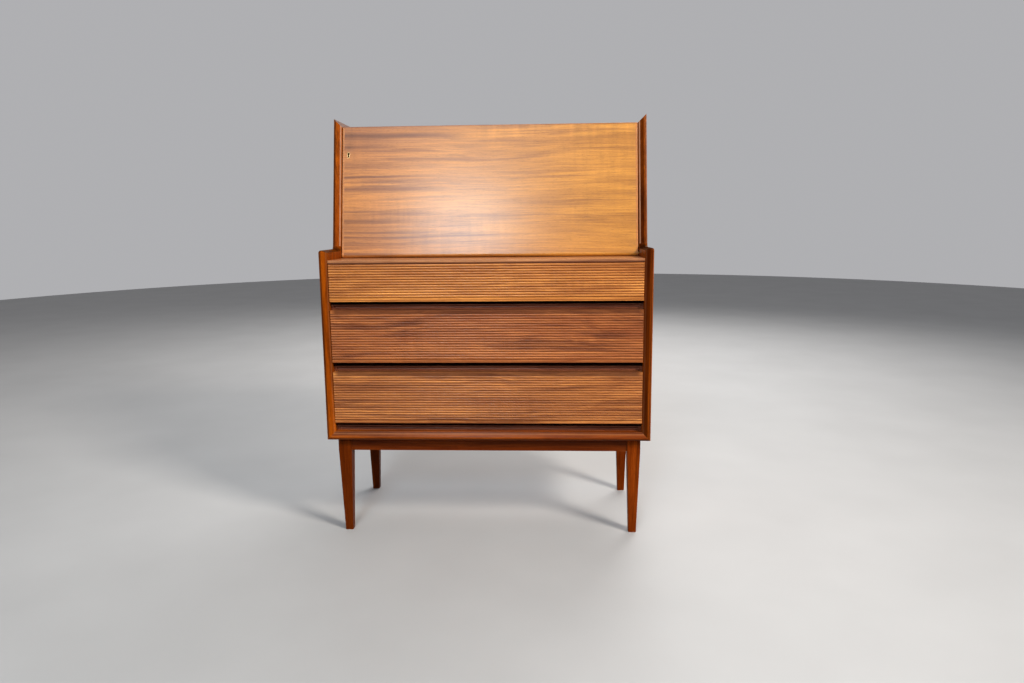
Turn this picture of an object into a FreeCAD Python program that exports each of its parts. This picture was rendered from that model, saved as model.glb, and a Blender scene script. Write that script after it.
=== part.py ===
"""Secretary desk: a three-drawer case with reeded drawer fronts, a sloping fall-front flap
between tall cheeks, and a stand with four tapered legs.

Units are millimetres.  X runs left to right, Y front to back and Z up.  The origin is on the
floor, in the middle of the desk's width and depth.  Every piece is one file in parts/.
"""
import FreeCAD
import Part
import math
import os

Vector = FreeCAD.Vector

# ---- overall sizes ----
WIDTH = 820.0
DEPTH = 400.0
CASE_BOTTOM = 251.4          # underside of the case, on top of the stand
SHOULDER_TOP = 732.0         # top of the wide lower part of the sides
CHEEK_TOP = 1070.5           # highest point of the cheeks
BOARD = 22.0                 # thickness of the sides and the bottom board
LEAN = math.radians(11.0)    # how far the cheeks and the flap lean back from upright

HALF = WIDTH / 2
INNER = HALF - BOARD         # inner face of each side, as a distance from the middle
FRONT = -DEPTH / 2
BACK = DEPTH / 2
FLOOR_OF_CASE = CASE_BOTTOM + BOARD

# ---- moulded front edge of the sides and the bottom board ----
BEVEL_WIDTH = 13.5           # sloping band next to the opening
BEVEL_DEPTH = 6.0
ARRIS = 6.0                  # rounding of the outer edge
SHOULDER_ROUND = 5.0
CHEEK_BASE = FRONT + 126.5   # where the line of the cheek's front edge meets the shoulder
CHEEK_FILLET = 13.0          # hollow curve between the shoulder and the cheek

# ---- ledge, writing floor, top and back ----
LEDGE_TOP = 707.0
LEDGE_THICK = 9.0
LEDGE_SETBACK = 4.0
LEDGE_ARRIS = 1.5
FLOOR_THICK = 20.5
TOP_SURFACE = 1049.0
TOP_THICK = 18.0
BACK_THICK = 6.0
BACK_INSET = 2.0             # the back panel lies this far inside the rear edges
REBATE = 8.0
BACK_FACE = BACK - BACK_INSET - BACK_THICK

# ---- flap ----
FLAP_THICK = 20.0
FLAP_RECESS = 6.0            # outer face of the flap behind the front edge of the cheeks
FLAP_GAP = 1.4               # between each end of the flap and the cheek
FLAP_LIFT = 0.5              # open flap above the ledge
FLAP_STOP_GAP = 0.4          # closed flap in front of the top board
FLAP_EDGE_ROUND = 1.2
PIVOT_TO_FACE = 7.0          # pivot line behind the outer face
PIVOT_Z = LEDGE_TOP + FLAP_LIFT + PIVOT_TO_FACE
PIVOT_Y = (CHEEK_BASE + (FLAP_RECESS + PIVOT_TO_FACE) / math.cos(LEAN)
           + (PIVOT_Z - SHOULDER_TOP) * math.tan(LEAN))
FLAP_HALF = INNER - FLAP_GAP
FLAP_OUTER = -PIVOT_TO_FACE
FLAP_INNER = FLAP_THICK - PIVOT_TO_FACE

PIN_RADIUS = 3.0
PIN_IN_FLAP = 24.0
PIN_REACH = 12.0
BUSH_RADIUS = 6.0
BUSH_BORE = 3.05
BUSH_LENGTH = 14.0

# ---- lock, near the flap's upper left corner ----
KEYHOLE_INSET = 16.0         # keyhole in from the flap's left end
KEYHOLE_UP = 267.3           # keyhole above the pivot line, along the flap
KEYHOLE_RADIUS = 3.1
KEYHOLE_SLOT = 3.3
KEYHOLE_DROP = 9.0
LOCK_WIDTH = 32.0
LOCK_HEIGHT = 50.0
LOCK_THICK = 10.0
LOCK_WALL = 1.5
BOLT_HEIGHT = 15.6
BOLT_THICK = 4.6
BOLT_LENGTH = 26.5
BOLT_CLEARANCE = 0.2
BOLT_TRAVEL = 7.0
STRIKE_HEIGHT = 38.0
STRIKE_WIDTH = 14.0
STRIKE_THICK = 2.0
STRIKE_MORTISE = 9.0

# ---- drawers ----
REED_PITCH = 6.35
REED_DEPTH = 1.9
DRAWER_SETBACK = 3.0         # crests of the reeds behind the case's front
DRAWER_FRONT_THICK = 18.0
DRAWER_GAP = 0.8             # between each end of a drawer front and the side
DRAWER_SIDE_GAP = 2.5        # between the drawer's side and the case's side
DRAWER_SIDE_THICK = 12.0
DRAWER_BACK_THICK = 10.0
DRAWER_REAR = FRONT + 368.0
DRAWER_BOTTOM_THICK = 5.0
DRAWER_BOTTOM_GROOVE = 5.0
DRAWER_BOTTOM_UP = 10.0      # drawer bottom above the lower edge of the drawer's sides
DRAWER_HOUSING = 8.0         # drawer sides let into the back of the front
FINGER_BEVEL = 9.0           # sloped back of the front's lower edge, for the fingers
SIDE_ABOVE_FRONT_BOTTOM = 3.2
SIDE_BELOW_FRONT_TOP = 8.0

# name: lower edge and upper edge of the front, start of the reeds, number of reeds
DRAWERS = {
    "upper": (604.8, 697.3, 697.3 - 13 * REED_PITCH, 13),
    "middle": (451.7, 583.5, 459.9, 18),
    "lower": (296.0, 427.5, 303.7, 18),
}

# ---- runners and rails ----
RUNNER_THICK = 7.5
RUNNER_HEIGHT = 14.0
RUNNER_FRONT = FRONT + DRAWER_SETBACK + DRAWER_FRONT_THICK + 0.5
RUNNER_BACK = FRONT + 366.0
RUNNER_PLAY = 0.4
RUNNER_END_PLAY = 0.6
RAIL_SETBACK = 20.0
RAIL_DEPTH = 42.0
RAIL_HEIGHT = 12.0
RAIL_ABOVE_DRAWER = 0.6
FLUTE_RADIUS = 4.4
FLUTE_END = 6.0              # end of the flute in from the side
RAIL_BOTTOMS = {
    "upper": 583.5 + RAIL_ABOVE_DRAWER,
    "middle": 427.5 + RAIL_ABOVE_DRAWER,
    "lower": FLOOR_OF_CASE,
}

# ---- letter rack inside the desk ----
RACK_FRONT = FRONT + 262.0
SHELF_Z = 870.0
SHELF_THICK = 10.0
DIVIDER_THICK = 8.0
DIVIDER_SETBACK = 6.0
DIVIDERS = {"left": -194.0, "centre": 0.0, "right": 194.0}

# ---- stand ----
LEG_TOP = 33.5
LEG_FOOT = 19.5
LEG_INSET = 23.0             # outer face of the leg, at its top, in from the case's side
LEG_FRONT = FRONT + 20.0
LEG_BACK = FRONT + 360.0
LEG_ARRIS = 1.5
STAND_RAIL_HEIGHT = 33.0
STAND_RAIL_THICK = 20.0
STAND_RAIL_SETBACK = 4.0
BLOCK_REACH = 42.0
BLOCK_HEIGHT = 25.0

# ---- screws: shank radius, head radius, length ----
RUNNER_SCREW = (1.6, 3.2, 18.0)
BACK_SCREW = (1.4, 2.8, 20.0)
LOCK_SCREW = (1.1, 2.2, 14.0)
STRIKE_SCREW = (1.1, 2.2, 11.0)
STAND_SCREW = (2.2, 4.3, 40.0)


# ---- simple shapes ----
def box(x0, x1, y0, y1, z0, z1):
    return Part.makeBox(x1 - x0, y1 - y0, z1 - z0, Vector(x0, y0, z0))


def prism_x(points, x0, x1):
    """A prism along X from its outline, a list of (y, z) points."""
    corners = [Vector(x0, y, z) for y, z in points]
    face = Part.Face(Part.makePolygon(corners + corners[:1]))
    return face.extrude(Vector(x1 - x0, 0, 0))


def prism_z(points, z0, z1):
    """A prism along Z from its outline, a list of (x, y) points."""
    corners = [Vector(x, y, z0) for x, y in points]
    face = Part.Face(Part.makePolygon(corners + corners[:1]))
    return face.extrude(Vector(0, 0, z1 - z0))


def prism_y(points, y0, y1):
    """A prism along Y from its outline, a list of (x, z) points."""
    corners = [Vector(x, y0, z) for x, z in points]
    face = Part.Face(Part.makePolygon(corners + corners[:1]))
    return face.extrude(Vector(0, y1 - y0, 0))


def arc(start, middle, end):
    return Part.Arc(start, middle, end).toShape()


def line(start, end):
    return Part.makeLine(start, end)


def mirrored(shape):
    return shape.mirror(Vector(0, 0, 0), Vector(1, 0, 0))


def screw(size, head_at, direction):
    """A countersunk wood screw: a cone head, a shank and a point."""
    shank, head, length = size
    outline = [
        (0, 0), (head, 0), (shank, head - shank),
        (shank, length - 2 * shank), (0, length),
    ]
    corners = [Vector(r, 0, z) for r, z in outline]
    face = Part.Face(Part.makePolygon(corners + corners[:1]))
    shape = face.revolve(Vector(0, 0, 0), Vector(0, 0, 1), 360)
    turn = FreeCAD.Rotation(Vector(0, 0, 1), direction)
    shape.Placement = FreeCAD.Placement(head_at, turn)
    return shape


def leaning(shape):
    """Moves a piece drawn upright about the pivot line at the origin to its leaning place."""
    shape.rotate(Vector(0, 0, 0), Vector(1, 0, 0), -math.degrees(LEAN))
    shape.translate(Vector(0, PIVOT_Y, PIVOT_Z))
    return shape


def without(shape, tools):
    for tool in tools:
        shape = shape.cut(tool)
    return shape


# ---- screws, placed where the pieces they hold meet ----
def runner_height(drawer):
    low, high = DRAWERS[drawer][:2]
    return (low + SIDE_ABOVE_FRONT_BOTTOM + high - SIDE_BELOW_FRONT_TOP) / 2


def runner_screws():
    found = []
    for drawer in DRAWERS:
        for share in (0.1, 0.5, 0.9):
            y = RUNNER_FRONT + share * (RUNNER_BACK - RUNNER_FRONT)
            for side in (-1, 1):
                at = Vector(side * (INNER - RUNNER_THICK), y, runner_height(drawer))
                found.append(screw(RUNNER_SCREW, at, Vector(side, 0, 0)))
    return found


def back_screws():
    inset = REBATE / 2
    y = BACK - BACK_INSET
    places = []
    for side in (-1, 1):
        places += [(side * (INNER + inset), z) for z in (330, 450, 570, 690, 810, 930)]
    for x in (-270, -90, 90, 270):
        places.append((x, FLOOR_OF_CASE - inset))
        places.append((x, LEDGE_TOP - LEDGE_THICK / 2))
        places.append((x, TOP_SURFACE - TOP_THICK + inset))
    return [screw(BACK_SCREW, Vector(x, y, z), Vector(0, -1, 0)) for x, z in places]


def lock_screws():
    found = []
    left = -FLAP_HALF + 6
    right = -FLAP_HALF + LOCK_WIDTH - 6
    for x in (left, right):
        for up in (-1, 1):
            at = Vector(x, FLAP_INNER, KEYHOLE_UP + up * (LOCK_HEIGHT / 2 - 2.6))
            found.append(leaning(screw(LOCK_SCREW, at, Vector(0, -1, 0))))
    return found


def strike_screws():
    found = []
    for up in (-1, 1):
        at = Vector(-INNER, bolt_middle(), KEYHOLE_UP + up * (STRIKE_HEIGHT / 2 - 4.5))
        found.append(leaning(screw(STRIKE_SCREW, at, Vector(-1, 0, 0))))
    return found


def stand_screws():
    found = []
    z = CASE_BOTTOM - BLOCK_HEIGHT
    for x, y in block_screw_places():
        for side in (-1, 1):
            found.append(screw(STAND_SCREW, Vector(side * x, y, z), Vector(0, 0, 1)))
    return found


# ---- sides ----
def side_outline(x, inset):
    """The side's outline in the plane at x, its front drawn back by inset."""
    shoulder = SHOULDER_TOP - inset
    front = FRONT + inset
    corner = max(SHOULDER_ROUND - inset, 0.4)
    fillet = CHEEK_FILLET + inset
    foot = CHEEK_BASE + inset / math.cos(LEAN) - inset * math.tan(LEAN)
    along = Vector(0, math.sin(LEAN), math.cos(LEAN))
    reach = fillet * math.tan((math.pi / 2 - LEAN) / 2)
    start = Vector(x, foot - reach, shoulder)
    end = Vector(x, foot, shoulder) + along * reach
    centre = Vector(x, foot - reach, shoulder + fillet)
    toward = (start + end) * 0.5 - centre
    middle = centre + toward.normalize() * fillet
    half = corner * math.sqrt(0.5)
    round_start = Vector(x, front, shoulder - corner)
    round_end = Vector(x, front + corner, shoulder)
    round_middle = Vector(x, front + corner - half, shoulder - corner + half)
    crown = Vector(x, foot + (CHEEK_TOP - shoulder) * math.tan(LEAN), CHEEK_TOP)
    rear_top = Vector(x, BACK, CHEEK_TOP)
    rear_foot = Vector(x, BACK, CASE_BOTTOM)
    front_foot = Vector(x, front, CASE_BOTTOM)
    return Part.Wire([
        line(front_foot, round_start),
        arc(round_start, round_middle, round_end),
        line(round_end, start),
        arc(start, middle, end),
        line(end, crown),
        line(crown, rear_top),
        line(rear_top, rear_foot),
        line(rear_foot, front_foot),
    ])


def round_outer_arris(panel):
    """Rounds the edges of the outer face, all along the front."""
    outer = []
    for edge in panel.Edges:
        place = edge.BoundBox
        flat = abs(place.XMin - HALF) < 0.01 and abs(place.XMax - HALF) < 0.01
        middle = edge.CenterOfMass
        behind = middle.y > BACK - 1
        end = middle.z > CHEEK_TOP - 0.1 or middle.z < CASE_BOTTOM + 0.1
        if flat and not behind and not end:
            outer.append(edge)
    return panel.makeFillet(ARRIS, outer)


def side_panel():
    """The right side: one board, wide below the shoulder and leaning back above it."""
    bevel_start = INNER + BEVEL_WIDTH
    outer = Part.Face(side_outline(bevel_start, 0)).extrude(Vector(HALF - bevel_start, 0, 0))
    outer = round_outer_arris(outer)
    wires = [side_outline(INNER, BEVEL_DEPTH), side_outline(bevel_start, 0)]
    panel = outer.fuse(Part.makeLoft(wires, True, True))
    drop = 60.0
    panel = panel.cut(prism_y([
        (HALF, CHEEK_TOP), (HALF - drop, CHEEK_TOP - drop), (HALF - drop, CHEEK_TOP + drop),
        (HALF, CHEEK_TOP + drop),
    ], FRONT - 1, BACK + 1))
    panel = panel.cut(prism_y([
        (HALF, CASE_BOTTOM), (HALF - drop, CASE_BOTTOM + drop), (HALF - drop, CASE_BOTTOM - drop),
        (HALF, CASE_BOTTOM - drop),
    ], FRONT - 1, BACK + 1))
    rebate_low = FLOOR_OF_CASE - REBATE
    rebate_high = TOP_SURFACE - TOP_THICK + REBATE
    panel = panel.cut(box(INNER - 1, INNER + REBATE, BACK_FACE, BACK + 1, rebate_low, rebate_high))
    return panel.cut(bush_hole())


def bush_hole():
    at = Vector(INNER, PIVOT_Y, PIVOT_Z)
    return Part.makeCylinder(BUSH_RADIUS, BUSH_LENGTH, at, Vector(1, 0, 0))


# ---- boards of the case ----
def bottom_board():
    """The bottom board, with the sides' moulded edge, mitred to them at both ends."""
    low = CASE_BOTTOM
    bevel_start = FLOOR_OF_CASE - BEVEL_WIDTH
    half = ARRIS * math.sqrt(0.5)
    centre = Vector(-HALF, FRONT + ARRIS, low + ARRIS)
    outline = [
        Vector(-HALF, BACK, low), Vector(-HALF, FRONT + ARRIS, low),
        Vector(-HALF, FRONT, low + ARRIS), Vector(-HALF, FRONT, bevel_start),
        Vector(-HALF, FRONT + BEVEL_DEPTH, FLOOR_OF_CASE), Vector(-HALF, BACK, FLOOR_OF_CASE),
    ]
    edges = [
        line(outline[0], outline[1]),
        arc(outline[1], centre + Vector(0, -half, -half), outline[2]),
    ]
    edges += [line(outline[i], outline[i + 1]) for i in range(2, 5)]
    edges.append(line(outline[5], outline[0]))
    board = Part.Face(Part.Wire(edges)).extrude(Vector(WIDTH, 0, 0))
    mitre = prism_y([
        (HALF, low), (INNER, FLOOR_OF_CASE), (INNER, FLOOR_OF_CASE + BOARD),
        (HALF + BOARD, FLOOR_OF_CASE + BOARD), (HALF + BOARD, low),
    ], FRONT - 1, BACK + 1)
    board = without(board, [mitre, mirrored(mitre)])
    reach = INNER + REBATE
    return board.cut(box(-reach, reach, BACK_FACE, BACK + 1, FLOOR_OF_CASE - REBATE,
                         FLOOR_OF_CASE + 1))


def ledge_board():
    low = LEDGE_TOP - LEDGE_THICK
    board = box(-INNER, INNER, FRONT + LEDGE_SETBACK, BACK_FACE, low, LEDGE_TOP)
    edges = [e for e in board.Edges if e.Length > 2 * INNER - 1 and e.CenterOfMass.y < 0]
    return board.makeFillet(LEDGE_ARRIS, edges)


def flap_face_y(offset, z):
    """Y of a plane parallel to the flap, offset behind its pivot line, at height z."""
    return PIVOT_Y + offset / math.cos(LEAN) + (z - PIVOT_Z) * math.tan(LEAN)


def writing_floor():
    """The raised floor inside, level with the open flap's upper face."""
    top = LEDGE_TOP + FLOOR_THICK
    front = flap_face_y(FLAP_INNER, top) + FLAP_STOP_GAP
    return box(-INNER, INNER, front, BACK_FACE, LEDGE_TOP, top)


def top_board():
    """The top, whose sloping front edge is the closed flap's stop."""
    low = TOP_SURFACE - TOP_THICK
    gap = FLAP_INNER + FLAP_STOP_GAP
    board = prism_x([
        (flap_face_y(gap, low), low), (flap_face_y(gap, TOP_SURFACE), TOP_SURFACE),
        (BACK, TOP_SURFACE), (BACK, low),
    ], -INNER, INNER)
    return board.cut(box(-INNER, INNER, BACK_FACE, BACK + 1, low - 1, low + REBATE))


def back_panel():
    reach = INNER + REBATE
    low = FLOOR_OF_CASE - REBATE
    high = TOP_SURFACE - TOP_THICK + REBATE
    return box(-reach, reach, BACK_FACE, BACK - BACK_INSET, low, high)


def cove_rail(low):
    """A rail below a drawer, with a stopped flute along its face."""
    face = FRONT + RAIL_SETBACK
    rail = box(-INNER, INNER, face, face + RAIL_DEPTH, low, low + RAIL_HEIGHT)
    reach = INNER - FLUTE_END - FLUTE_RADIUS
    height = low + RAIL_HEIGHT / 2
    flute = Part.makeCylinder(FLUTE_RADIUS, 2 * reach, Vector(-reach, face, height),
                              Vector(1, 0, 0))
    ends = [Part.makeSphere(FLUTE_RADIUS, Vector(side * reach, face, height)) for side in (-1, 1)]
    return without(rail, [flute] + ends)


def runner(side, drawer):
    middle = runner_height(drawer)
    low = middle - RUNNER_HEIGHT / 2
    strip = box(INNER - RUNNER_THICK, INNER, RUNNER_FRONT, RUNNER_BACK, low, low + RUNNER_HEIGHT)
    return strip if side > 0 else mirrored(strip)


# ---- letter rack ----
def letter_shelf():
    return box(-INNER, INNER, RACK_FRONT, BACK_FACE, SHELF_Z, SHELF_Z + SHELF_THICK)


def divider(x):
    """An upright between two pigeonholes, its front edge curved back in the middle."""
    low = LEDGE_TOP + FLOOR_THICK
    half = DIVIDER_THICK / 2
    board = box(x - half, x + half, RACK_FRONT + DIVIDER_SETBACK, BACK_FACE, low, SHELF_Z)
    height = SHELF_Z - low
    hollow = 18.0
    radius = (height ** 2 / 4 + hollow ** 2) / (2 * hollow)
    centre = Vector(x - half, RACK_FRONT + DIVIDER_SETBACK + hollow - radius, low + height / 2)
    return board.cut(Part.makeCylinder(radius, DIVIDER_THICK, centre, Vector(1, 0, 0)))


# ---- drawers ----
def reeded_face(y, start, count):
    """Edges of the reeds, from the lowest one up; each is a round rib with a sharp groove."""
    edges = []
    for i in range(count):
        low = start + i * REED_PITCH
        edges.append(arc(Vector(0, y + REED_DEPTH, low), Vector(0, y, low + REED_PITCH / 2),
                         Vector(0, y + REED_DEPTH, low + REED_PITCH)))
    return edges


def drawer_front(drawer):
    low, high, start, count = DRAWERS[drawer]
    face = FRONT + DRAWER_SETBACK
    back = face + DRAWER_FRONT_THICK
    reeds_top = start + count * REED_PITCH
    plain = [Vector(0, face, low), Vector(0, face, start), Vector(0, face + REED_DEPTH, start)]
    above = [Vector(0, face + REED_DEPTH, reeds_top)]
    if high - reeds_top > 0.1:
        above += [Vector(0, face, reeds_top), Vector(0, face, high)]
    above += [Vector(0, back, high), Vector(0, back, low + FINGER_BEVEL)]
    above += [Vector(0, back - FINGER_BEVEL, low), plain[0]]
    edges = [line(plain[i], plain[i + 1]) for i in range(len(plain) - 1)]
    edges += reeded_face(face, start, count)
    edges += [line(above[i], above[i + 1]) for i in range(len(above) - 1)]
    wire = Part.Wire(edges)
    wire.translate(Vector(-(INNER - DRAWER_GAP), 0, 0))
    panel = Part.Face(wire).extrude(Vector(2 * (INNER - DRAWER_GAP), 0, 0))
    tools = [drawer_side_blank(side, drawer) for side in (-1, 1)]
    return without(panel, tools + [drawer_bottom(drawer)])


def drawer_side_blank(side, drawer):
    low, high = DRAWERS[drawer][:2]
    outer = INNER - DRAWER_SIDE_GAP
    back_of_front = FRONT + DRAWER_SETBACK + DRAWER_FRONT_THICK
    blank = box(outer - DRAWER_SIDE_THICK, outer, back_of_front - DRAWER_HOUSING, DRAWER_REAR,
                low + FINGER_BEVEL + SIDE_ABOVE_FRONT_BOTTOM, high - SIDE_BELOW_FRONT_TOP)
    skirt = box(outer - DRAWER_SIDE_THICK, outer, back_of_front, DRAWER_REAR,
                low + SIDE_ABOVE_FRONT_BOTTOM, low + FINGER_BEVEL + SIDE_ABOVE_FRONT_BOTTOM)
    blank = blank.fuse(skirt).removeSplitter()
    return blank if side > 0 else mirrored(blank)


def drawer_side(side, drawer):
    """A drawer side, grooved outside for the runner and inside for the bottom."""
    blank = drawer_side_blank(1, drawer)
    outer = INNER - DRAWER_SIDE_GAP
    middle = runner_height(drawer)
    half = RUNNER_HEIGHT / 2 + RUNNER_PLAY
    back_of_front = FRONT + DRAWER_SETBACK + DRAWER_FRONT_THICK
    groove = box(INNER - RUNNER_THICK - RUNNER_END_PLAY, outer + 1, back_of_front,
                 DRAWER_REAR + 1, middle - half, middle + half)
    shape = without(blank, [groove, drawer_bottom(drawer)])
    return shape if side > 0 else mirrored(shape)


def drawer_bottom_z(drawer):
    return DRAWERS[drawer][0] + SIDE_ABOVE_FRONT_BOTTOM + DRAWER_BOTTOM_UP


def drawer_bottom(drawer):
    reach = INNER - DRAWER_SIDE_GAP - DRAWER_SIDE_THICK + DRAWER_BOTTOM_GROOVE
    front = FRONT + DRAWER_SETBACK + DRAWER_FRONT_THICK - DRAWER_BOTTOM_GROOVE
    low = drawer_bottom_z(drawer)
    return box(-reach, reach, front, DRAWER_REAR, low, low + DRAWER_BOTTOM_THICK)


def drawer_back(drawer):
    reach = INNER - DRAWER_SIDE_GAP - DRAWER_SIDE_THICK
    low = drawer_bottom_z(drawer) + DRAWER_BOTTOM_THICK
    high = DRAWERS[drawer][1] - SIDE_BELOW_FRONT_TOP - 6
    return box(-reach, reach, DRAWER_REAR - DRAWER_BACK_THICK, DRAWER_REAR, low, high)


# ---- flap and its pivots ----
def flap_panel():
    """The fall front, drawn upright about its pivot line.  Its lower outer corner is rounded
    about the pivot so that it turns over the ledge; its top is level when it is closed."""
    rise = TOP_SURFACE - PIVOT_Z
    top_outer = (rise + FLAP_OUTER * math.sin(LEAN)) / math.cos(LEAN)
    top_inner = (rise + FLAP_INNER * math.sin(LEAN)) / math.cos(LEAN)
    x = -FLAP_HALF
    half = PIVOT_TO_FACE * math.sqrt(0.5)
    points = [
        Vector(x, 0, -PIVOT_TO_FACE), Vector(x, FLAP_INNER - 3, -5), Vector(x, FLAP_INNER, -2),
        Vector(x, FLAP_INNER, top_inner), Vector(x, FLAP_OUTER, top_outer), Vector(x, FLAP_OUTER, 0),
    ]
    edges = [line(points[i], points[i + 1]) for i in range(5)]
    edges.append(arc(points[5], Vector(x, -half, -half), points[0]))
    panel = Part.Face(Part.Wire(edges)).extrude(Vector(2 * FLAP_HALF, 0, 0))
    panel = round_flap_face(panel)
    tools = [lock_pocket(), keyhole(FLAP_OUTER - 1, FLAP_INNER)]
    tools += [pivot_pin(side) for side in (-1, 1)]
    return leaning(without(panel, tools))


def round_flap_face(panel):
    """Rounds the end edges of the outer face, then its top edge."""
    for middle_x in (-FLAP_HALF, FLAP_HALF, 0):
        edges = []
        for edge in panel.Edges:
            on_face = edge.BoundBox.YMax < FLAP_OUTER + 0.01
            middle = edge.CenterOfMass
            if on_face and middle.z > PIVOT_TO_FACE and abs(middle.x - middle_x) < 0.01:
                edges.append(edge)
        panel = panel.makeFillet(FLAP_EDGE_ROUND, edges)
    return panel


def pivot_pin(side):
    start = Vector(side * (FLAP_HALF - PIN_IN_FLAP), 0, 0)
    length = PIN_IN_FLAP + FLAP_GAP + PIN_REACH
    return Part.makeCylinder(PIN_RADIUS, length, start, Vector(side, 0, 0))


def pivot_bush(side):
    at = Vector(side * INNER, PIVOT_Y, PIVOT_Z)
    outer = Part.makeCylinder(BUSH_RADIUS, BUSH_LENGTH, at, Vector(side, 0, 0))
    return outer.cut(Part.makeCylinder(BUSH_BORE, BUSH_LENGTH, at, Vector(side, 0, 0)))


# ---- lock ----
def keyhole(y0, y1):
    x = -FLAP_HALF + KEYHOLE_INSET
    barrel = Part.makeCylinder(KEYHOLE_RADIUS, y1 - y0, Vector(x, y0, KEYHOLE_UP), Vector(0, 1, 0))
    half = KEYHOLE_SLOT / 2
    return barrel.fuse(box(x - half, x + half, y0, y1, KEYHOLE_UP - KEYHOLE_DROP, KEYHOLE_UP))


def lock_pocket():
    x = -FLAP_HALF
    half = LOCK_HEIGHT / 2
    return box(x, x + LOCK_WIDTH, FLAP_INNER - LOCK_THICK, FLAP_INNER, KEYHOLE_UP - half,
               KEYHOLE_UP + half)


def bolt_middle():
    """Middle of the bolt's thickness, behind the pivot line."""
    return FLAP_INNER - LOCK_THICK / 2


def lock_case():
    """A hollow case let into the flap, with a slot in its end for the bolt and a key post."""
    x = -FLAP_HALF
    front = FLAP_INNER - LOCK_THICK
    wall = LOCK_WALL
    hollow = LOCK_HEIGHT / 2 - 5
    case = lock_pocket()
    case = case.cut(box(x + wall, x + LOCK_WIDTH - wall, front + wall, FLAP_INNER - wall,
                        KEYHOLE_UP - hollow, KEYHOLE_UP + hollow))
    tall = BOLT_HEIGHT / 2 + BOLT_CLEARANCE
    thick = BOLT_THICK / 2 + BOLT_CLEARANCE
    case = case.cut(box(x, x + wall, bolt_middle() - thick, bolt_middle() + thick,
                        KEYHOLE_UP - tall, KEYHOLE_UP + tall))
    case = case.cut(keyhole(front, front + wall))
    post = Part.makeCylinder(1.3, LOCK_THICK - wall - 1, Vector(x + KEYHOLE_INSET, front + 1,
                             KEYHOLE_UP), Vector(0, 1, 0))
    return leaning(case.fuse(post))


def lock_bolt():
    """The sliding bolt, slotted round the key post, with a notch for the key below."""
    x = -FLAP_HALF + 0.2
    post = -FLAP_HALF + KEYHOLE_INSET
    thick = BOLT_THICK / 2
    tall = BOLT_HEIGHT / 2
    middle = bolt_middle()
    bolt = box(x, x + BOLT_LENGTH, middle - thick, middle + thick, KEYHOLE_UP - tall,
               KEYHOLE_UP + tall)
    slot = box(post - 2, post + BOLT_TRAVEL + 2, middle - thick, middle + thick,
               KEYHOLE_UP - 2, KEYHOLE_UP + 2)
    notch = Part.makeCylinder(3.2, 2 * thick, Vector(post + 2, middle - thick, KEYHOLE_UP - tall),
                              Vector(0, 1, 0))
    return leaning(without(bolt, [slot, notch]))


def strike_slot(depth):
    tall = BOLT_HEIGHT / 2 + 0.8
    thick = BOLT_THICK / 2 + 0.8
    return leaning(box(-INNER - depth, -INNER, bolt_middle() - thick, bolt_middle() + thick,
                       KEYHOLE_UP - tall, KEYHOLE_UP + tall))


def strike_blank():
    half = STRIKE_HEIGHT / 2
    wide = STRIKE_WIDTH / 2
    return leaning(box(-INNER - STRIKE_THICK, -INNER, bolt_middle() - wide, bolt_middle() + wide,
                       KEYHOLE_UP - half, KEYHOLE_UP + half))


# ---- stand ----
def leg_section(x, y, z, size):
    """A square with its corners taken off."""
    s = size / 2
    t = s - LEG_ARRIS
    corners = [(-t, -s), (t, -s), (s, -t), (s, t), (t, s), (-t, s), (-s, t), (-s, -t), (-t, -s)]
    return Part.makePolygon([Vector(x + i, y + j, z) for i, j in corners])


def leg(side, front):
    """A square leg, straight at the rails and tapering on all four sides below them."""
    half = LEG_TOP / 2
    x = side * (HALF - LEG_INSET - half)
    y = LEG_FRONT + half if front else LEG_BACK - half
    knee = CASE_BOTTOM - STAND_RAIL_HEIGHT
    taper = [leg_section(x, y, 0.0, LEG_FOOT), leg_section(x, y, knee, LEG_TOP)]
    top = Part.Face(Part.Wire(leg_section(x, y, knee, LEG_TOP).Edges))
    top = top.extrude(Vector(0, 0, STAND_RAIL_HEIGHT))
    return Part.makeLoft(taper, True, True).fuse(top)


def stand_rail_long(front):
    inner = HALF - LEG_INSET - LEG_TOP
    y0 = LEG_FRONT + STAND_RAIL_SETBACK if front else LEG_BACK - STAND_RAIL_SETBACK - STAND_RAIL_THICK
    return box(-inner, inner, y0, y0 + STAND_RAIL_THICK, CASE_BOTTOM - STAND_RAIL_HEIGHT, CASE_BOTTOM)


def stand_rail_short(side):
    outer = HALF - LEG_INSET - STAND_RAIL_SETBACK
    rail = box(outer - STAND_RAIL_THICK, outer, LEG_FRONT + LEG_TOP, LEG_BACK - LEG_TOP,
               CASE_BOTTOM - STAND_RAIL_HEIGHT, CASE_BOTTOM)
    return rail if side > 0 else mirrored(rail)


def block_corner():
    """Where the inner faces of the rails would meet, and the leg's inner corner."""
    rail_x = HALF - LEG_INSET - STAND_RAIL_SETBACK - STAND_RAIL_THICK
    leg_x = HALF - LEG_INSET - LEG_TOP
    return rail_x, leg_x


def corner_block(side, front):
    """A block in a corner of the stand, cut round the leg."""
    rail_x, leg_x = block_corner()
    rail_y = LEG_FRONT + STAND_RAIL_SETBACK + STAND_RAIL_THICK
    leg_y = LEG_FRONT + LEG_TOP
    outline = [
        (rail_x, leg_y), (rail_x, leg_y + BLOCK_REACH), (leg_x - BLOCK_REACH, rail_y),
        (leg_x, rail_y), (leg_x, leg_y),
    ]
    if not front:
        outline = [(x, LEG_FRONT + LEG_BACK - y) for x, y in outline]
    block = prism_z(outline, CASE_BOTTOM - BLOCK_HEIGHT, CASE_BOTTOM)
    return block if side > 0 else mirrored(block)


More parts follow.
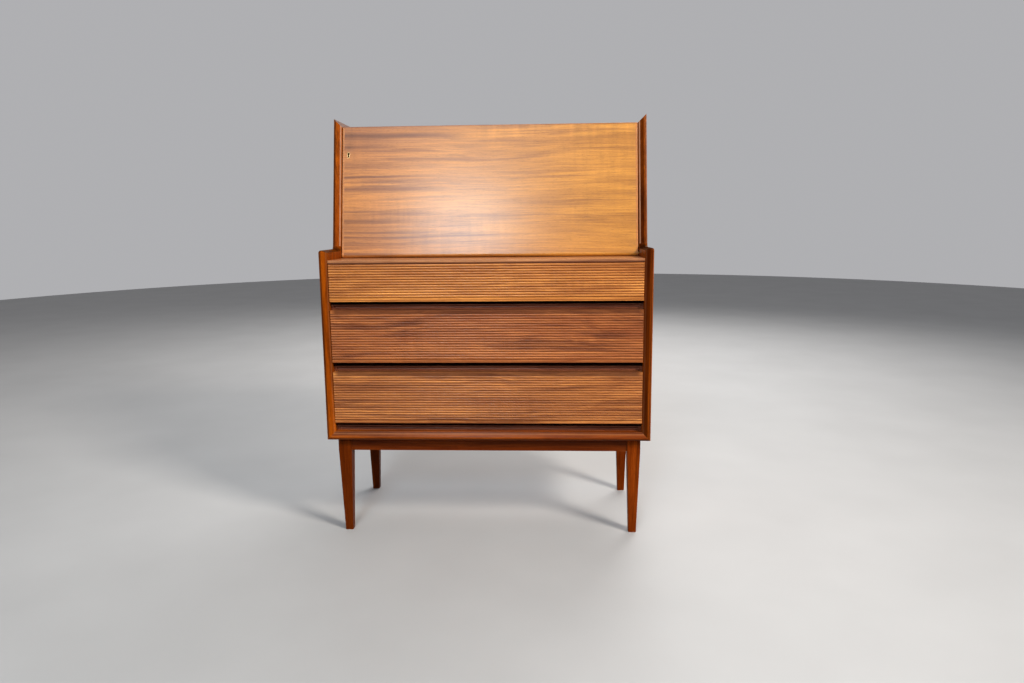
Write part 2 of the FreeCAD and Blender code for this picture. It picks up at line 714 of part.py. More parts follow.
def block_screw_places():
    """Two screws in each corner block, given for the right-hand side."""
    rail_x, leg_x = block_corner()
    leg_y = LEG_FRONT + LEG_TOP
    near = [(leg_x - 18, leg_y - 1), (rail_x - 8, leg_y + 16)]
    return near + [(x, LEG_FRONT + LEG_BACK - y) for x, y in near]


# ---- the whole desk ----
def case_pieces():
    sunk = runner_screws() + back_screws()
    right = side_panel()
    left = without(mirrored(right), strike_screws() + [strike_slot(STRIKE_MORTISE), strike_blank()])
    pieces = {
        "left_side_panel": without(left, sunk),
        "right_side_panel": without(right, sunk),
        "bottom_board": without(bottom_board(), back_screws() + stand_screws()),
        "ledge_board": without(ledge_board(), back_screws()),
        "writing_floor": writing_floor(),
        "top_board": without(top_board(), back_screws()),
        "back_panel": without(back_panel(), back_screws()),
        "strike_plate": without(strike_blank(), strike_screws() + [strike_slot(STRIKE_MORTISE)]),
        "letter_shelf": letter_shelf(),
        "runner_screws": Part.makeCompound(runner_screws()),
        "back_panel_screws": Part.makeCompound(back_screws()),
        "strike_screws": Part.makeCompound(strike_screws()),
    }
    for name, low in RAIL_BOTTOMS.items():
        pieces[name + "_cove_rail"] = cove_rail(low)
    for name, x in DIVIDERS.items():
        pieces[name + "_divider"] = divider(x)
    for side, word in ((-1, "left"), (1, "right")):
        pieces[word + "_pivot_bush"] = pivot_bush(side)
        for drawer in DRAWERS:
            strip = without(runner(side, drawer), runner_screws())
            pieces["%s_%s_runner" % (drawer, word)] = strip
    return pieces


def drawer_pieces():
    pieces = {}
    for drawer in DRAWERS:
        stem = drawer + "_drawer_"
        pieces[stem + "front"] = drawer_front(drawer)
        pieces[stem + "left_side"] = drawer_side(-1, drawer)
        pieces[stem + "right_side"] = drawer_side(1, drawer)
        pieces[stem + "back"] = drawer_back(drawer)
        pieces[stem + "bottom"] = drawer_bottom(drawer)
    return pieces


def flap_pieces():
    return {
        "flap_panel": without(flap_panel(), lock_screws()),
        "left_pivot_pin": leaning(pivot_pin(-1)),
        "right_pivot_pin": leaning(pivot_pin(1)),
        "lock_case": without(lock_case(), lock_screws()),
        "lock_bolt": lock_bolt(),
        "lock_screws": Part.makeCompound(lock_screws()),
    }


def stand_pieces():
    pieces = {
        "front_stand_rail": stand_rail_long(True),
        "rear_stand_rail": stand_rail_long(False),
        "stand_screws": Part.makeCompound(stand_screws()),
    }
    for side, word in ((-1, "left"), (1, "right")):
        pieces[word + "_stand_rail"] = stand_rail_short(side)
        for front, place in ((True, "front"), (False, "rear")):
            pieces["%s_%s_leg" % (place, word)] = leg(side, front)
            block = without(corner_block(side, front), stand_screws())
            pieces["%s_%s_corner_block" % (place, word)] = block
    return pieces


os.makedirs("parts", exist_ok=True)
for group in (case_pieces, drawer_pieces, flap_pieces, stand_pieces):
    for name, shape in group().items():
        shape.exportStep("parts/%s.step" % name)
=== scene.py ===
"""The secretary desk's looks: camera, light, floor and the materials of every piece.
"""
import math

import bpy
from mathutils import Matrix, Vector


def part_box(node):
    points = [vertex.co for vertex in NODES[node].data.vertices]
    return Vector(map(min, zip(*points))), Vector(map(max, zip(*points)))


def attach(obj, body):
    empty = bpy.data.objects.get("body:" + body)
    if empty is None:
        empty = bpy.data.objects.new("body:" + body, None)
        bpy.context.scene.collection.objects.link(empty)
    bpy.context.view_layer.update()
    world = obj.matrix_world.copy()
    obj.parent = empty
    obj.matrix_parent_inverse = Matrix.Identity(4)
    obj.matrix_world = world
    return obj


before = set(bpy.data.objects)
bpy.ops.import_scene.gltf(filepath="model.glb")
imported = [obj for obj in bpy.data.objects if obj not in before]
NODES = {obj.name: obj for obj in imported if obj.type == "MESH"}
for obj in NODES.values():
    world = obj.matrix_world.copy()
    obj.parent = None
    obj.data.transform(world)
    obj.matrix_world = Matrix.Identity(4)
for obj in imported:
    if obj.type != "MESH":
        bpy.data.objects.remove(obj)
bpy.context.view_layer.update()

SIDES = ("left", "right")
ENDS = ("front", "rear")
DRAWERS = ("upper", "middle", "lower")

# ---- camera ----
CAMERA_AT = Vector((0.155, -1.9998, 0.7915))
CAMERA_YAW = math.radians(2.856)
CAMERA_PITCH = math.radians(-9.024)
CAMERA_ROLL = math.radians(-0.572)
CAMERA_LENS = 25.985
SENSOR = 36.0


def add_camera():
    data = bpy.data.cameras.new("camera")
    data.lens = CAMERA_LENS
    data.sensor_width = SENSOR
    camera = bpy.data.objects.new("camera", data)
    turn = Matrix.Rotation(CAMERA_YAW, 4, "Z")
    tilt = Matrix.Rotation(math.pi / 2 + CAMERA_PITCH, 4, "X")
    roll = Matrix.Rotation(CAMERA_ROLL, 4, "Z")
    camera.matrix_world = Matrix.Translation(CAMERA_AT) @ turn @ tilt @ roll
    bpy.context.scene.collection.objects.link(camera)
    bpy.context.scene.camera = camera


# ---- light ----
LIGHT_SPREAD = math.radians(100)
ROOM_COLOUR = (0.97, 0.97, 1.0, 1)
# The room's strength by how far a direction points to the back: where the change starts and
# ends, and the strength at each.
ROOM_STRENGTH = {"From Min": -0.9, "From Max": 0.7, "To Min": 0.05, "To Max": 0.40}


def area_light(name, at, toward, size, watts, colour):
    data = bpy.data.lights.new(name, "AREA")
    data.shape = "RECTANGLE"
    data.size, data.size_y = size
    data.energy = watts
    data.color = colour
    data.spread = LIGHT_SPREAD
    light = bpy.data.objects.new(name, data)
    way = (Vector(toward) - Vector(at)).normalized()
    light.matrix_world = Matrix.Translation(at) @ way.to_track_quat("-Z", "Y").to_matrix().to_4x4()
    light.visible_camera = False
    bpy.context.scene.collection.objects.link(light)


def add_lights():
    area_light("key", (2.9, -2.5, 2.9), (0, 0, 0.7), (1.0, 1.0), 50, (1.0, 0.93, 0.85))
    area_light("window", (-0.58, -4.3, 2.50), (0, 0, 0.8), (0.8, 0.7), 21, (0.70, 0.88, 1.0))
    area_light("ceiling", (-0.5, -2.6, 3.1), (0, 0, 0.4), (1.8, 1.4), 10, (1.0, 0.97, 0.94))
    area_light("rear", (0.9, 3.4, 3.6), (0, 1.9, 0), (3.2, 2.0), 46, (1.0, 0.98, 0.96))


def add_room():
    """Dim in front of the desk and pale behind it, as in a room with one pale wall."""
    world = bpy.data.worlds.new("room")
    world.use_nodes = True
    tree = world.node_tree
    shade = tree.nodes["Background"]
    way = tree.nodes.new("ShaderNodeTexCoord")
    split = tree.nodes.new("ShaderNodeSeparateXYZ")
    level = tree.nodes.new("ShaderNodeMapRange")
    tree.links.new(way.outputs["Generated"], split.inputs[0])
    tree.links.new(split.outputs["Y"], level.inputs["Value"])
    for name, value in ROOM_STRENGTH.items():
        level.inputs[name].default_value = value
    tree.links.new(level.outputs[0], shade.inputs["Strength"])
    shade.inputs["Color"].default_value = ROOM_COLOUR
    bpy.context.scene.world = world
    bpy.context.scene.view_settings.view_transform = "Standard"
    bpy.context.scene.view_settings.look = "Medium High Contrast"


# ---- shader graphs ----
class Graph:
    """A material's node tree, with short calls for the nodes that the materials use."""

    def __init__(self, name):
        self.material = bpy.data.materials.new(name)
        self.material.use_nodes = True
        self.tree = self.material.node_tree
        self.shader = self.tree.nodes["Principled BSDF"]
        self.place = self.add("ShaderNodeTexCoord").outputs["Object"]
        split = self.add("ShaderNodeSeparateXYZ", Vector=self.place)
        self.axis = {"X": split.outputs[0], "Y": split.outputs[1], "Z": split.outputs[2]}

    def add(self, kind, settings=None, **values):
        node = self.tree.nodes.new(kind)
        for key, value in (settings or {}).items():
            setattr(node, key, value)
        for key, value in values.items():
            self.put(node.inputs[key], value)
        return node

    def put(self, socket, value):
        if isinstance(value, bpy.types.NodeSocket):
            self.tree.links.new(value, socket)
        else:
            socket.default_value = value

    def set_shader(self, name, value):
        self.shader.inputs[name].default_value = value

    def math(self, operation, a, b=0.0, clamp=False):
        node = self.add("ShaderNodeMath", {"operation": operation, "use_clamp": clamp})
        self.put(node.inputs[0], a)
        self.put(node.inputs[1], b)
        return node.outputs[0]

    def plus(self, a, b):
        return self.math("ADD", a, b)

    def minus(self, a, b):
        return self.math("SUBTRACT", a, b)

    def times(self, a, b):
        return self.math("MULTIPLY", a, b)

    def size_of(self, a):
        return self.math("ABSOLUTE", a)

    def mix(self, share, a, b, blend="MIX"):
        node = self.add("ShaderNodeMix", {"data_type": "RGBA", "blend_type": blend})
        self.put(node.inputs[0], share)
        self.put(node.inputs[6], a)
        self.put(node.inputs[7], b)
        return node.outputs[2]

    def toned(self, colour, tone):
        """colour with tone multiplied over it."""
        return self.mix(1.0, colour, tone, "MULTIPLY")

    def spread(self, value, low, high, to_low=0.0, to_high=1.0):
        """value, taken from low..high to to_low..to_high and clamped."""
        node = self.add("ShaderNodeMapRange", {"clamp": True})
        for socket, number in zip(node.inputs, (value, low, high, to_low, to_high)):
            self.put(socket, number)
        return node.outputs[0]

    def noise(self, where, scale, detail=2.0, roughness=0.5):
        node = self.add("ShaderNodeTexNoise", Vector=where, Scale=scale, Detail=detail,
                        Roughness=roughness)
        return node.outputs[0]

    def grain(self, where, axis, along, across, seed, detail=3.0, roughness=0.55):
        """Noise that is long along one axis; seed moves it elsewhere."""
        scale = [along if name == axis else across for name in "XYZ"]
        node = self.add("ShaderNodeMapping", Vector=where, Scale=scale,
                        Location=(seed * 3.17, seed * 1.73, seed * 2.39))
        return self.noise(node.outputs[0], 1.0, detail, roughness)

    def finish(self, colour, roughness, height=None, depth=0.0, strength=0.0):
        """The shader's colour, roughness and, where there is a height, its bump."""
        self.put(self.shader.inputs["Base Color"], colour)
        self.put(self.shader.inputs["Roughness"], roughness)
        if height is not None:
            bump = self.add("ShaderNodeBump", Height=height, Distance=depth, Strength=strength)
            self.put(self.shader.inputs["Normal"], bump.outputs[0])
        return self.material


def edge_mask(graph, radius):
    """1 on edges that wear, 0 on open faces."""
    soft = graph.add("ShaderNodeBevel", {"samples": 4}, Radius=radius)
    true = graph.add("ShaderNodeNewGeometry")
    dot = graph.add("ShaderNodeVectorMath", {"operation": "DOT_PRODUCT"})
    graph.put(dot.inputs[0], soft.outputs[0])
    graph.put(dot.inputs[1], true.outputs["Normal"])
    return graph.spread(dot.outputs["Value"], 0.98, 0.80)


def thin_line(graph, value, at, half):
    """1 where value is at, 0 from half away."""
    return graph.spread(graph.size_of(graph.minus(value, at)), half, half * 0.5)


# ---- wood ----
SCUFF_TONE = (0.50, 0.26, 0.11, 1)
WORN_EDGE = 0.0012               # how far wear reaches from an edge
GRAIN_RELIEF = 0.00012
COAT_ROUGHNESS = 0.22
# Noise sizes, in waves a metre along the grain and across it.
WANDER_WAVES = (2.4, 5.0)
PORE_WAVES = (90.0, 1700.0)
RIPPLE_WAVES = (62.0, 9.0)
PATCH_WAVES = (4.0, 7.0)
# The broad bands and the hair lines have this many waves a metre along the grain, and this
# many times the streaks' number across it.
BAND_ALONG, BAND_ACROSS = 1.6, 0.22
HAIR_ALONG, HAIR_ACROSS = 7.0, 4.5


def drifted(graph, axis, seed, wander):
    """Position along and across the grain, with the grain wandering by up to wander."""
    slow = graph.grain(graph.place, axis, *WANDER_WAVES, seed + 5, 2.0, 0.45)
    drift = graph.times(graph.minus(slow, 0.5), wander)
    first, second = [name for name in "ZYX" if name != axis]
    node = graph.add("ShaderNodeCombineXYZ")
    moved = graph.plus(graph.axis[first], drift)
    graph.put(node.inputs[axis], graph.axis[axis])
    graph.put(node.inputs[first], moved)
    graph.put(node.inputs[second], graph.plus(graph.axis[second], drift))
    return node.outputs[0], moved


def figure_streak(graph, along, across, start, end, level, half):
    """One dark streak from start to end along the grain, at a level across it."""
    away = graph.size_of(graph.minus(across, level))
    body = graph.spread(away, half * 1.5, half * 0.3)
    head = graph.spread(along, start - 0.02, start + 0.02)
    tail = graph.spread(along, end + 0.05, end - 0.12)
    return graph.times(body, graph.times(head, tail))


def wood(name, axis, tones, seed, streak, dark=0.6, broad=0.14, ribbon=0.06, gloss=0.38,
         coat=0.2, wear=0.35, shine=0.3, tint=None, wander=0.020, along=3.2, figure=(),
         shift=None, lipping_and_painted_light=None):
    """Lacquered wood with its grain along axis.

    tones     its dark streak, its body and its palest line
    streak    how many streaks there are to a metre across the grain; along, along it
    dark      how strongly the streaks show; broad, the bands; ribbon, the cross ripple
    wander    how far the grain strays, in metres
    shine     the wood's own reflection, coloured by tint; coat, the lacquer's; gloss, its
              roughness
    figure    single streaks
    shift     changes the colour by place
    lipping   lays another colour over a mask: edge strips, painted shade, painted highlights
    """
    graph = Graph(name)
    deep, body, pale = tones
    where, across = drifted(graph, axis, seed, wander)
    bands = graph.grain(where, axis, BAND_ALONG, streak * BAND_ACROSS, seed, 3.0)
    lines = graph.grain(where, axis, along, streak, seed + 1, 4.0, 0.6)
    hair = graph.grain(where, axis, HAIR_ALONG, streak * HAIR_ACROSS, seed + 2, 3.0, 0.6)
    pores = graph.grain(graph.place, axis, *PORE_WAVES, seed + 3, 1.0)
    ripple = graph.grain(graph.place, axis, *RIPPLE_WAVES, seed + 4, 2.0)
    patch = graph.grain(graph.place, axis, *PATCH_WAVES, seed + 6, 1.0)
    pit = graph.spread(pores, 0.60, 0.68)

    # body and palest line, then the dark streaks over them
    mixed = graph.plus(graph.times(bands, 0.6), graph.times(hair, 0.4))
    colour = graph.mix(graph.spread(mixed, 0.36, 0.64), (*body, 1), (*pale, 1))
    streaks = graph.spread(graph.plus(lines, graph.times(bands, 0.35)), 0.66, 0.84)
    if shift is not None:
        colour, place_dark = shift(graph, colour)
        streaks = graph.times(streaks, place_dark)
    for start, end, level, half, strength in figure:
        one = figure_streak(graph, graph.axis[axis], across, start, end, level, half)
        streaks = graph.math("MAXIMUM", streaks, graph.times(one, strength))
    streaks = graph.math("MULTIPLY", streaks, dark, clamp=True)
    colour = graph.mix(streaks, colour, (*deep, 1))
    # another colour over a mask: on the flap its solid edge strips, elsewhere painted shade and
    # painted highlights
    if lipping_and_painted_light is not None:
        colour = lipping_and_painted_light(graph, colour)

    # brightness: bands, hair lines, ripple in patches, pores
    flecks = graph.times(graph.minus(ripple, 0.5), graph.spread(patch, 0.45, 0.62))
    shade = graph.times(graph.spread(bands, 0.3, 0.7, 1 - broad, 1 + broad),
                        graph.spread(hair, 0.25, 0.75, 0.81, 1.14))
    shade = graph.times(shade, graph.plus(graph.times(flecks, ribbon * 5), 1.0))
    shade = graph.times(shade, graph.spread(pit, 0, 1, 1.0, 0.7))
    colour = graph.toned(colour, shade)

    if wear:
        scuff = graph.spread(graph.noise(graph.place, 90.0, 3.0, 0.6), 0.35, 0.65)
        edge = graph.times(edge_mask(graph, WORN_EDGE), scuff)
        colour = graph.mix(graph.times(edge, wear), colour, SCUFF_TONE)
    rough = graph.spread(hair, 0.2, 0.8, gloss - 0.06, gloss + 0.10)
    height = graph.minus(graph.times(hair, 0.4), pit)
    graph.set_shader("Specular IOR Level", shine)
    if tint is not None:
        graph.set_shader("Specular Tint", tint)
    graph.set_shader("Coat Weight", coat)
    graph.set_shader("Coat Roughness", COAT_ROUGHNESS)
    return graph.finish(colour, rough, height, GRAIN_RELIEF, 0.35)


# ---- flap ----
LEAN = math.radians(11)
FLAP_LEFT_TONE = (0.85, 0.77, 0.54, 1)
FLAP_RIGHT_TONE = (0.98, 1.00, 0.50, 1)
FLAP_CORNER_TONE = (0.28, 0.105, 0.050, 1)
LIPPING_TONES = ((0.36, 0.125, 0.032, 1), (0.56, 0.235, 0.070, 1))
FLAP_TOP_TONE = (0.24, 0.085, 0.034, 1)


def flap_shift(graph, colour):
    """Browner and more streaked towards the left and the top, golden towards the right."""
    side = graph.spread(graph.axis["X"], -0.30, 0.26)
    colour = graph.toned(colour, graph.mix(side, FLAP_LEFT_TONE, FLAP_RIGHT_TONE))
    corner = graph.times(graph.spread(graph.axis["Z"], 0.88, 1.02),
                         graph.spread(graph.axis["X"], -0.08, -0.34, 0.30, 1.0))
    colour = graph.mix(graph.times(corner, 0.42), colour, FLAP_CORNER_TONE)
    return colour, graph.spread(graph.axis["X"], -0.34, 0.34, 1.0, 0.45)


def flap_lipping(graph, colour):
    """A solid strip of straight-grained wood at each end of the flap, and a darker top edge."""
    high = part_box("flap_panel")[1]
    end = graph.size_of(graph.axis["X"])
    strip = graph.spread(end, high.x - 0.0055, high.x - 0.0050)
    grain = graph.grain(graph.place, "Z", 5.0, 500.0, 71.0)
    colour = graph.mix(strip, colour, graph.mix(grain, *LIPPING_TONES))
    top = graph.spread(graph.axis["Z"], high.z - 0.0034, high.z - 0.0026)
    return graph.mix(graph.times(top, 0.6), colour, FLAP_TOP_TONE)


def flap_figure():
    """Single dark streaks: start, end, share of the flap's height, half thickness, strength."""
    low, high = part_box("flap_panel")
    marks = ((-0.42, -0.08, 0.925, 0.0070, 1.25), (-0.42, -0.25, 0.835, 0.0045, 1.05),
             (-0.28, 0.02, 0.740, 0.0035, 0.80), (-0.42, -0.22, 0.680, 0.0040, 0.75),
             (-0.42, -0.14, 0.612, 0.0034, 1.20), (-0.42, -0.10, 0.520, 0.0070, 1.10),
             (-0.42, -0.18, 0.280, 0.0050, 0.95), (-0.42, 0.10, 0.155, 0.0032, 1.00),
             (-0.42, -0.19, 0.095, 0.0040, 0.85), (0.02, 0.30, 0.640, 0.0040, 0.55),
             (0.10, 0.40, 0.410, 0.0035, 0.55))
    return [(start, end, low.z + share * (high.z - low.z), half, strength)
            for start, end, share, half, strength in marks]


# ---- reeds ----
REED_PITCH = 0.00635
# Of each drawer front: the height of its first groove, how many reeds, and how dark the
# painted shade on the plain band above them is.
REEDS = {"upper": (0.61475, 13, 0.0), "middle": (0.4599, 18, 0.7), "lower": (0.3037, 18, 0.7)}
GROOVE_SHADE_TONE = (0.200, 0.042, 0.008, 1)
BAND_SHADE_TONE = (0.085, 0.024, 0.010, 1)


def reeded(first, count, band):
    """Painted shade darkening the grooves between the reeds and the plain band above them."""
    def shade(graph, colour):
        top = count * REED_PITCH
        height = graph.minus(graph.axis["Z"], first)
        turn = graph.math("FRACT", graph.math("DIVIDE", height, REED_PITCH))
        off = graph.math("MINIMUM", turn, graph.minus(1.0, turn))
        in_reeds = graph.spread(height, top + 0.0006, top)
        # painted shade in the grooves between the reeds
        groove = graph.times(graph.spread(off, 0.24, 0.06), in_reeds)
        colour = graph.mix(graph.times(groove, 0.72), colour, GROOVE_SHADE_TONE)
        # painted shade on the plain band above the reeds, under the gap and rail above the drawer
        middle = graph.spread(graph.size_of(graph.axis["X"]), 0.385, 0.374)
        above = graph.times(graph.minus(1.0, in_reeds), middle)
        return graph.mix(graph.times(above, band), colour, BAND_SHADE_TONE)
    return shade


# ---- moulded edges ----
CASE_FRONT = -0.2
SHOULDER_TOP = 0.732
CHEEK_FOOT = -0.0735             # the line of the cheek's front edge, at the shoulder's height
# The painted shade toned over the slope of each side's moulding: light on the left side, which
# faces the key light, dark on the right.
SLOPE_SHADE = {"left": (1.00, 0.95, 0.70, 1), "right": (0.42, 0.36, 0.30, 1)}
TOP_SHADE = (0.42, 0.50, 0.50, 1)
INNER_HIGHLIGHT_TONE = (0.46, 0.26, 0.17, 1)
QUIRK_SHADE_TONE = (0.050, 0.014, 0.006, 1)
RIM_HIGHLIGHT_TONE = (0.26, 0.14, 0.085, 1)


def darker_top(graph, colour, tone):
    """Faces that look up, toned darker as painted shade."""
    normal = graph.add("ShaderNodeNewGeometry").outputs["Normal"]
    up = graph.add("ShaderNodeSeparateXYZ", Vector=normal).outputs[2]
    return graph.mix(graph.spread(up, 0.35, 0.75), colour, graph.toned(colour, tone))


def behind_edge(graph):
    """How far a point is behind a side's front edge, and 1 on the cheek but 0 below it."""
    rise = graph.math("MAXIMUM", graph.minus(graph.axis["Z"], SHOULDER_TOP), 0.0)
    cheek_front = graph.plus(graph.times(rise, math.tan(LEAN)), CHEEK_FOOT)
    is_cheek = graph.spread(graph.axis["Z"], SHOULDER_TOP - 0.004, SHOULDER_TOP + 0.008)
    case_front = graph.times(graph.minus(1.0, is_cheek), CASE_FRONT)
    front = graph.plus(case_front, graph.times(is_cheek, cheek_front))
    return graph.minus(graph.axis["Y"], front), is_cheek


def side_edge(slope_shade):
    """The moulded front edge: painted shade on its slope, a painted highlight on its outer corner.

    Painted shade darkens the quirk beside the outer corner, and the inner rim has a painted
    highlight, most of all on the cheeks.
    """
    def shade(graph, colour):
        out = graph.size_of(graph.axis["X"])
        back, is_cheek = behind_edge(graph)
        near = graph.spread(back, 0.0150, 0.0110)
        slope = graph.times(graph.spread(out, 0.3882, 0.3890), graph.spread(out, 0.4045, 0.4005))
        # painted shade on the moulding's slope, one side lit and the other shaded
        colour = graph.mix(slope, colour, graph.toned(colour, slope_shade))
        # painted shade on faces that look up
        colour = darker_top(graph, colour, TOP_SHADE)
        # painted highlight along the moulding's inner rim, strongest on the cheeks
        inner_highlight = graph.times(thin_line(graph, out, 0.3915, 0.0022), near)
        share = graph.plus(graph.times(is_cheek, 0.60), 0.08)
        colour = graph.mix(graph.times(inner_highlight, share), colour, INNER_HIGHLIGHT_TONE)
        # painted shade in the quirk beside the outer corner
        quirk = graph.times(thin_line(graph, out, 0.4055, 0.0018), near)
        colour = graph.mix(graph.times(quirk, 0.75), colour, QUIRK_SHADE_TONE)
        # painted highlight on the moulding's outer corner, strongest on the cheeks
        rim = graph.times(graph.spread(back, 0.0045, 0.0015), graph.spread(out, 0.4070, 0.4085))
        rim_highlight_share = graph.plus(graph.times(is_cheek, 0.45), 0.30)
        return graph.mix(graph.times(rim, rim_highlight_share), colour, RIM_HIGHLIGHT_TONE)
    return shade


def ledge_edge(graph, colour):
    """Painted shadow at the ledge front's foot, and a line of painted shade under its rounded top.
    """
    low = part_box("ledge_board")[0]
    height = graph.minus(graph.axis["Z"], low.z)
    near = graph.spread(graph.axis["Y"], low.y + 0.0030, low.y + 0.0020)
    # painted shadow at the foot of the ledge's front edge
    foot = graph.times(graph.spread(height, 0.0044, 0.0034), near)
    colour = graph.mix(graph.times(foot, 0.80), colour, (0.085, 0.022, 0.010, 1))
    # a line of painted shade under the ledge's rounded top
    line = graph.times(thin_line(graph, height, 0.0072, 0.0010), near)
    return graph.mix(graph.times(line, 0.45), colour, (0.12, 0.040, 0.020, 1))


def board_edge(graph, colour):
    """The bottom board's moulded front edge: painted shade in its quirks, a painted highlight on
    the rim between.
    """
    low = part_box("bottom_board")[0]
    height = graph.minus(graph.axis["Z"], low.z)
    near = graph.spread(graph.axis["Y"], low.y + 0.0150, low.y + 0.0110)
    # lines by height, half width, share and tone: painted shade low and in the top quirk, a
    # painted highlight on the rim
    for at, half, share, tone in ((0.0035, 0.0022, 0.70, (0.060, 0.016, 0.007, 1)),
                                  (0.0165, 0.0022, 0.35, (0.36, 0.17, 0.080, 1)),
                                  (0.0200, 0.0016, 0.70, QUIRK_SHADE_TONE)):
        line = graph.times(thin_line(graph, height, at, half), near)
        colour = graph.mix(graph.times(line, share), colour, tone)
    return colour


# ---- metal ----
def metal(name, colour, rough):
    graph = Graph(name)
    dull = graph.noise(graph.place, 240.0, 3.0, 0.6)
    spot = graph.noise(graph.place, 36.0, 2.0, 0.6)
    dark = tuple(c * 0.55 for c in colour)
    mixed = graph.mix(graph.spread(spot, 0.35, 0.7), (*colour, 1), (*dark, 1))
    graph.set_shader("Metallic", 1.0)
    return graph.finish(mixed, graph.spread(dull, 0.3, 0.7, rough - 0.08, rough + 0.12), dull,
                        0.00005, 0.2)


# ---- every piece's material ----
# Each wood's dark streak, body and palest line.
RIBBON = ((0.17, 0.058, 0.022), (0.47, 0.190, 0.066), (0.60, 0.265, 0.085))
LEDGE = ((0.18, 0.068, 0.034), (0.40, 0.170, 0.072), (0.54, 0.250, 0.110))
REED = {"upper": ((0.17, 0.042, 0.010), (0.44, 0.150, 0.034), (0.63, 0.270, 0.066)),
        "middle": ((0.09, 0.022, 0.008), (0.29, 0.081, 0.024), (0.47, 0.175, 0.050)),
        "lower": ((0.11, 0.028, 0.008), (0.32, 0.102, 0.028), (0.53, 0.215, 0.058))}
CASE = ((0.050, 0.007, 0.001), (0.20, 0.038, 0.002), (0.33, 0.084, 0.005))
RAIL = ((0.07, 0.018, 0.009), (0.17, 0.045, 0.021), (0.26, 0.092, 0.048))
LEG = ((0.06, 0.009, 0.001), (0.17, 0.028, 0.002), (0.26, 0.056, 0.005))
PALE = ((0.30, 0.19, 0.10), (0.45, 0.31, 0.18), (0.55, 0.41, 0.25))
PLY = ((0.24, 0.135, 0.066), (0.39, 0.235, 0.118), (0.48, 0.31, 0.165))
RACK = ((0.18, 0.070, 0.030), (0.36, 0.165, 0.065), (0.46, 0.235, 0.10))

WARM_SHINE = (1.0, 0.62, 0.30, 1)
REED_DARK = {"upper": 0.55, "middle": 0.75, "lower": 0.7}
# The left legs' wood is darkened as painted shade, on the side away from the key light.
LEG_SHADE_SHARE = {"left": 0.66, "right": 1.0}     # the left legs are the darker ones
# The long stand rails' wood is darkened as painted shade, for the shadow under the case.
LONG_RAIL_SHADE_SHARE = 0.72


def darkened(tones, share):
    return [[c * share for c in tone] for tone in tones]


def dress(names, material):
    for name in names:
        for slot in NODES[name].material_slots:
            slot.material = material


def dress_case():
    for i, side in enumerate(SIDES):
        dress([side + "_side_panel"],
              wood("case_side_" + side, "Z", CASE, 3.0 + i, 60, coat=0.03, shine=0.10, wear=0.15,
                   tint=WARM_SHINE, lipping_and_painted_light=side_edge(SLOPE_SHADE[side])))
    dress(["bottom_board"],
          wood("bottom_board_wood", "X", CASE, 6.0, 60, coat=0.03, shine=0.12,
               lipping_and_painted_light=board_edge))
    dress(["ledge_board"], wood("ledge_wood", "X", LEDGE, 14.0, 90, lipping_and_painted_light=ledge_edge))
    dress(["top_board", "writing_floor"], wood("top_wood", "X", RIBBON, 15.0, 60))
    dress(["back_panel"],
          wood("back_ply_wood", "Z", PLY, 56.0, 14, dark=0.35, coat=0.0, gloss=0.65, wear=0.0))
    dress(["letter_shelf"], wood("shelf_wood", "X", RACK, 58.0, 60))
    dress(["left_divider", "centre_divider", "right_divider"],
          wood("divider_wood", "Z", RACK, 59.0, 60))


def dress_flap():
    dress(["flap_panel"],
          wood("flap_wood", "X", RIBBON, 17.0, 66, dark=0.68, ribbon=0.10, coat=0.35,
               figure=flap_figure(), shift=flap_shift, lipping_and_painted_light=flap_lipping))


def dress_stand():
    for i, side in enumerate(SIDES):
        dress([side + "_stand_rail"],
              wood("stand_rail_" + side, "Y", LEG, 9.0 + i, 80, coat=0.08, shine=0.2))
        for j, end in enumerate(ENDS):
            dress(["%s_%s_leg" % (end, side)],
                  wood("leg_%s_%s" % (end, side), "Z", darkened(LEG, LEG_SHADE_SHARE[side]),
                       20.0 + 2 * i + j, 90, coat=0.0, shine=0.10, wear=0.12, tint=WARM_SHINE))
    dress(["front_stand_rail", "rear_stand_rail"],
          wood("stand_rail_long", "X", darkened(LEG, LONG_RAIL_SHADE_SHARE), 12.0, 80, coat=0.0,
               shine=0.10))
    dress(["%s_%s_corner_block" % (end, side) for end in ENDS for side in SIDES],
          wood("block_wood", "X", PALE, 54.0, 60, dark=0.3, coat=0.0, gloss=0.6))


def dress_drawers():
    for i, drawer in enumerate(DRAWERS):
        dress([drawer + "_drawer_front"],
              wood(drawer + "_front_wood", "X", REED[drawer], 30.0 + i, 72,
                   dark=REED_DARK[drawer], broad=0.16, wander=0.055, along=2.6,
                   lipping_and_painted_light=reeded(*REEDS[drawer])))
        dress([drawer + "_cove_rail"],
              wood(drawer + "_rail_wood", "X", RAIL, 36.0 + i, 80, coat=0.08, shine=0.2))
        dress([drawer + "_drawer_left_side", drawer + "_drawer_right_side"],
              wood(drawer + "_box_wood", "Y", PALE, 40.0 + i, 50, dark=0.3, coat=0.0, gloss=0.5))
        dress([drawer + "_drawer_back"],
              wood(drawer + "_back_wood", "X", PALE, 44.0 + i, 50, dark=0.3, coat=0.0,
                   gloss=0.5))
        dress([drawer + "_drawer_bottom"],
              wood(drawer + "_bottom_ply", "X", PLY, 48.0 + i, 18, dark=0.3, coat=0.0,
                   gloss=0.6))
    dress(["%s_%s_runner" % (drawer, side) for drawer in DRAWERS for side in SIDES],
          wood("runner_wood", "Y", PALE, 52.0, 70, dark=0.3, coat=0.0, gloss=0.55))


